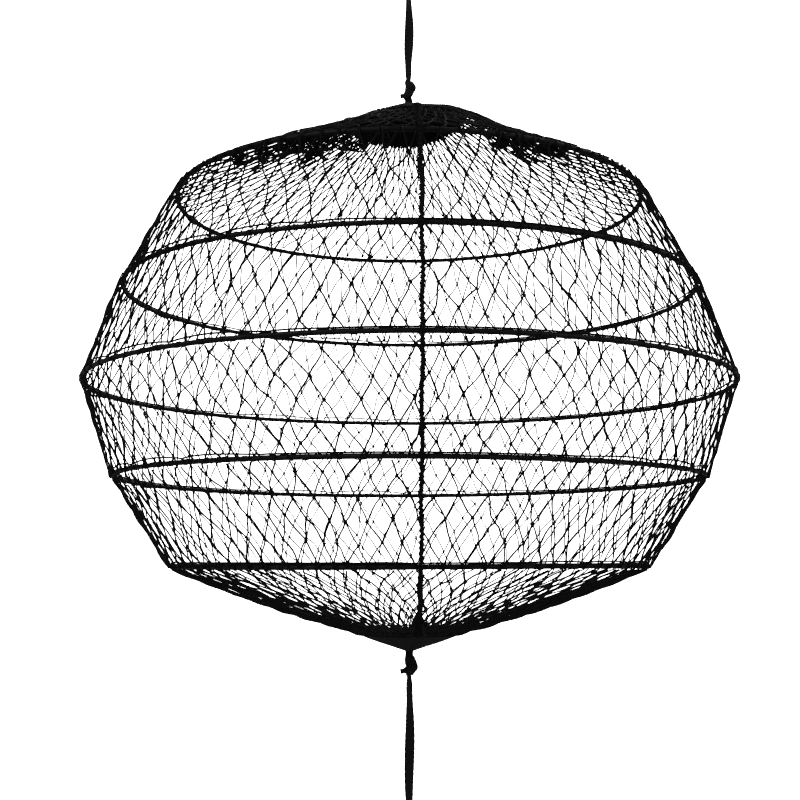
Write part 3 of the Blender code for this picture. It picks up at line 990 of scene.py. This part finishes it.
def gather(name, crown_z, edge_z, body, seed):
    """The net's twine under a cap, drawn together into the knot at its middle."""
    random = np.random.default_rng(seed)
    count = 2 * MESHES_ROUND
    up = math.copysign(1.0, crown_z - edge_z)
    azimuth = uneven_azimuths(random, count, 0.35)
    share = np.linspace(0.0, 1.0, 9)[None]
    radius = CAP_RADIUS * 1.02 * (1.0 - share) + 0.006 * share
    slack = random.uniform(0.0010, 0.0048, count)[:, None] * np.sin(np.pi * share) ** 0.8
    wave = random.normal(0.0, 0.05, (count, 1)) * np.sin(2.0 * np.pi * share)
    height = cap_height(radius, azimuth[:, None], crown_z, edge_z) - up * (0.0021 + slack)
    mould = Mould()
    tubes(mould, polar(radius, azimuth[:, None] + wave, height), TWINE_RADIUS, 4, UP)
    t = np.linspace(0.0, 1.0, 120)
    coil = polar(
        0.0085 + 0.0006 * np.sin(23.0 * t),
        math.tau * 5.0 * t,
        crown_z - up * (0.0062 + 0.0052 * t),
    )
    tubes(mould, coil[None], 0.0009, 6, UP)
    return rides(mould.made(name, NET), body, "net_twine")


def rim_stitches(name, crown_z, edge_z, body, seed):
    """Overcast stitches that hold the hem to the net, and a row of short ones through the hem."""
    random = np.random.default_rng(seed)
    up = math.copysign(1.0, crown_z - edge_z)
    azimuth = uneven_azimuths(random, RIM_STITCHES, 0.12)[:, None]
    t = np.linspace(0.0, 1.0, 9)[None]
    turn = np.pi * 1.15 * t - 0.2
    radius = 0.0510 + 0.0056 * np.sin(turn)
    height = cap_height(radius, azimuth, crown_z, edge_z) + up * 0.0012 * np.cos(turn)
    mould = Mould()
    tubes(mould, polar(radius, azimuth + 0.030 * t, height), 0.00045, 5, (0.1, 0.2, 1.0))
    azimuth = uneven_azimuths(random, HEM_STITCHES, 0.06)[:, None]
    t = np.linspace(0.0, 1.0, 6)[None]
    radius = 0.0497
    height = cap_height(radius, azimuth, crown_z, edge_z) + up * (0.0006 + 0.0010 * np.sin(np.pi * t))
    tubes(mould, polar(radius, azimuth + 0.034 * t, height), 0.00042, 5, UP)
    return rides(mould.made(name, SEAM), body, "seam_cord")


for end, crown_z, edge_z, seed in (
    ("top", TOP_CROWN_Z, TOP_EDGE[1], 70),
    ("bottom", BOTTOM_CROWN_Z, BOTTOM_EDGE[1], 80),
):
    cloth = cap(f"{end}_cap_cloth", crown_z, edge_z, end, f"{end}_cap", seed)
    gathered = gather(f"{end}_gather", crown_z, edge_z, end, seed + 1)
    stitches = rim_stitches(f"{end}_cap_stitches", crown_z, edge_z, end, seed + 2)


# ==================== tapes, knots and loops
def tape_outline():
    """A flat section with rounded, slightly thicker edges, for a radius of 1 metre."""
    half, thick = TAPE_WIDTH / 2.0, TAPE_THICKNESS / 2.0
    angles = math.tau * np.arange(20) / 20
    x = np.sign(np.cos(angles)) * np.abs(np.cos(angles)) ** 0.45
    y = np.sin(angles) * (0.80 + 0.35 * np.abs(x) ** 3)
    return np.stack([x * half, y * thick], axis=1)


FLAT_TAPE = tape_outline()


def tape_run(name, top, bottom, turns, body, cad_node):
    """A taut tape down the axis. turns are its angles at even steps: 0 faces the front, +-90 is edge-on."""
    steps = 90
    share = np.linspace(0.0, 1.0, steps)
    angle = np.interp(share, np.linspace(0.0, 1.0, len(turns)), np.radians(turns))
    sway = 0.0007 * np.sin(np.pi * share) * np.sin(5.0 * share)
    height = top + (bottom - top) * share
    line = np.stack([sway, np.zeros(steps), height], axis=1)
    pinch = 1.0 - 0.30 * np.exp(-((share / 0.05) ** 2)) - 0.30 * np.exp(-(((1.0 - share) / 0.05) ** 2))
    frayed = 1.0 + 0.02 * np.sin(210.0 * share) + 0.02 * np.sin(131.0 * share)
    made = tube_object(name, TAPE, line, (pinch * frayed)[None], 0, (1, 0, 0), FLAT_TAPE, angle[None])
    return rides(made, body, "woven_tape", cad_node), line


def overhand(name, cad_node, body, lean, spur=None, reach=0.0, aside=0.0, fat=1.0):
    """A tape tied in a tight overhand knot that fills the CAD knot.

    lean is 1 for a knot whose upper side bulges to the right, and -1 for one that bulges to the left.
    The knot sits aside of the tape's line by aside, and its strand is fat times as thick as usual.
    spur is the side and the drop of the tape's cut end, and reach is how far the tape runs on past
    the knot, up where it is positive and down where it is negative.
    """
    low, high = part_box(cad_node)
    height = high.z - low.z
    middle = np.array((0.0, 0.0, (high.z + low.z) / 2.0))
    size = height / KNOT_HEIGHT
    t = np.linspace(1.95, -1.95, 27)
    bend = np.stack(
        [
            lean * 0.00140 * (t**3 - 3.0 * t) / fat**2 + aside,
            0.00110 * (t**4 - 4.0 * t**2 + 2.0),
            0.00046 * (t**5 - 10.0 * t),
        ],
        axis=1,
    )
    upper, lower = 0.5 * height + max(reach, 0.0), -0.5 * height + min(reach, 0.0)
    going_in = [(0.0, 0.0, upper), (0.0, 0.0, 0.46 * height)]
    going_out = [(0.0, 0.0, -0.46 * height), (0.0, 0.0, lower)]
    line = middle + smooth(np.concatenate([going_in, bend * size, going_out]), 130)
    angles = math.tau * np.arange(14) / 14
    section = np.stack([np.cos(angles), np.sin(angles)], axis=1) * KNOT_STRAND * size * fat
    share = np.linspace(0.0, 1.0, 130)
    ends_in = np.clip(1.0 - np.abs(2.0 * share - 1.0), 0.0, 0.30) / 0.30
    swell = (0.62 + 0.38 * ends_in) * (1.0 + 0.08 * np.sin(17.0 * share + lean))
    mould = Mould()
    tubes(mould, line[None], swell[None], 0, (0.6, 0.2, 0.3), section, (2.2 * share)[None])
    if spur:
        add_spur(mould, middle, *spur)
    return rides(mould.made(name, TAPE), body, "woven_tape", cad_node)


def add_spur(mould, middle, side, drop):
    """The tape's cut end: a short flat stub that leaves the knot at one side."""
    path = [
        middle + np.array((0.0010 * side, -0.0015, 0.5 * drop)),
        middle + np.array((0.0045 * side, -0.0030, 0.9 * drop)),
        middle + np.array((0.0082 * side, -0.0026, 1.0 * drop)),
    ]
    tubes(mould, smooth(path, 16)[None], 0.50, 0, (0.1, 0.3, 1.0), FLAT_TAPE)


def eye(name, cad_node, body, way):
    """A loop of tape. Its inner face at the holding end lies where the CAD's does."""
    low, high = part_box(cad_node)
    half = high.x - TAPE_THICKNESS / 2.0
    crown = high.z - TAPE_THICKNESS / 2.0 if way < 0 else low.z + TAPE_THICKNESS / 2.0
    neck = low.z if way < 0 else high.z
    span = abs(neck - crown)
    shares = ((0.0, 0.0), (0.55, 0.02), (0.93, 0.16), (1.0, 0.34), (0.78, 0.64), (0.40, 0.88), (0.16, 1.0))
    right = [(x * half, 0.0, crown + way * z * span) for x, z in shares]
    left = [(-x, y + 0.0003, z) for x, y, z in right[1:]]
    path = smooth(left[::-1] + right, 120)
    made = tube_object(name, TAPE, path, 0.94, 0, (0.0, 1.0, 0.0), FLAT_TAPE)
    return rides(made, body, "woven_tape", cad_node)


def whipping(name, knot_node, body, way):
    """A few turns of twine round the tape where it goes into the cap."""
    low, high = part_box(knot_node)
    start = low.z + 0.0022 if way > 0.0 else high.z - 0.0022
    t = np.linspace(0.0, 1.0, 90)
    turn = math.tau * WHIPPING_TURNS * t
    coil = polar(0.0031 + 0.0003 * t, turn, start - way * WHIPPING_HEIGHT * t)
    return rides(tube_object(name, SEAM, coil, WHIPPING_RADIUS, 6, UP), body, "seam_cord")


def knotted_tape(end, run_turns, knots):
    """A tape with its two knots, its loop and the whipping where it goes into the cap."""
    run_node, knot_node, loop_knot_node, loop_node = knots
    low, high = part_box(run_node)
    tape, line = tape_run(f"{end}_tape_run", high.z, low.z, run_turns, end, run_node)
    way = 1.0 if end == "top" else -1.0
    spur, aside, fat = NEAR_KNOTS[end]
    overhand(f"{end}_tied_knot", knot_node, end, way, spur, -way * INTO_CAP, aside, fat)
    far = overhand(f"{end}_eye_knot", loop_knot_node, end, -way)
    holding = eye(f"{end}_eye", loop_node, end, -way)
    whipping(f"{end}_whipping", knot_node, end, way)


knotted_tape(
    "top",
    HANG_TURNS,
    ("hang_tape", "top_knot", "hang_loop_knot", "hang_loop"),
)
knotted_tape(
    "bottom",
    BOTTOM_TURNS,
    ("bottom_tape", "bottom_knot", "bottom_loop_knot", "bottom_loop"),
)


# ==================== carried-over CAD nodes
SLOTS = {row["node"]: row["material_slot"] for row in frame["record"]["subparts"]}
for name, cad_object in frame["nodes"].items():
    for material_slot in cad_object.material_slots:
        material_slot.material = MATERIALS[SLOTS[name]]


# ==================== floor, backdrop and light
STAGE_GLOW = 3.0  # overexposed, so that its white eats into fine twine as it does in strong back light


def stage_set():
    """A pale round studio: a floor that curves up into a wall, all one surface."""
    floor_z, reach, bend, top = -4.5, 5.0, 1.6, 6.0
    profile = [(0.0, floor_z), (reach - bend, floor_z)]
    for step in range(1, 13):
        angle = math.pi / 2.0 * step / 12
        profile.append((reach - bend * (1.0 - math.sin(angle)), floor_z + bend * (1.0 - math.cos(angle))))
    profile += [(reach, top), (reach * 0.6, top + 2.0), (0.0, top + 2.4)]
    azimuth = np.linspace(0.0, math.tau, 97)[:-1]
    radius = np.array([p[0] for p in profile])[:, None]
    height = np.array([p[1] for p in profile])[:, None]
    grid = polar(radius.clip(0.001, None), azimuth[None], height)
    material, shader = new_material("pale_floor", (0.93, 0.93, 0.93), 0.9, specular=0.1)
    shader.inputs["Emission Color"].default_value = (1.0, 1.0, 1.0, 1.0)
    shader.inputs["Emission Strength"].default_value = STAGE_GLOW
    grain = noise(material, 3.0)
    pale = ramp(material, grain, (0.91, 0.91, 0.91), (0.95, 0.95, 0.95))
    material.node_tree.links.new(pale, shader.inputs["Base Color"])
    mould = Mould()
    add_sheet(mould, grid, grid[..., :2], turned_over=True)
    made = mould.made("studio_floor", material)
    made.visible_diffuse = False
    made.visible_glossy = False
    made.visible_shadow = False


def area_light(name, place, size, power):
    """A square soft light that faces the middle of the net."""
    data = bpy.data.lights.new(name, "AREA")
    data.size = size
    data.energy = power
    light = bpy.data.objects.new(name, data)
    light.location = place
    target = np.array((0.0, 0.0, -0.45)) - np.array(place)
    level = math.hypot(target[0], target[1])
    turn = math.atan2(target[1], target[0]) - math.pi / 2.0
    light.rotation_euler = (math.atan2(level, -target[2]), 0.0, turn)
    bpy.context.scene.collection.objects.link(light)


def lighting():
    """A dim even world, a key from the front left, a fill from the right and a rim from behind."""
    world = bpy.data.worlds.new("studio")
    world.use_nodes = True
    background = world.node_tree.nodes["Background"]
    background.inputs["Color"].default_value = (1.0, 1.0, 1.0, 1.0)
    background.inputs["Strength"].default_value = 0.13
    bpy.context.scene.world = world
    area_light("key", (-1.7, -1.9, 0.9), 1.8, 9.0)
    area_light("fill", (1.9, -1.2, 0.1), 1.6, 3.5)
    area_light("rim", (0.6, 2.0, 1.2), 1.6, 10.0)


stage_set()
lighting()
bpy.context.scene.view_settings.view_transform = "Standard"
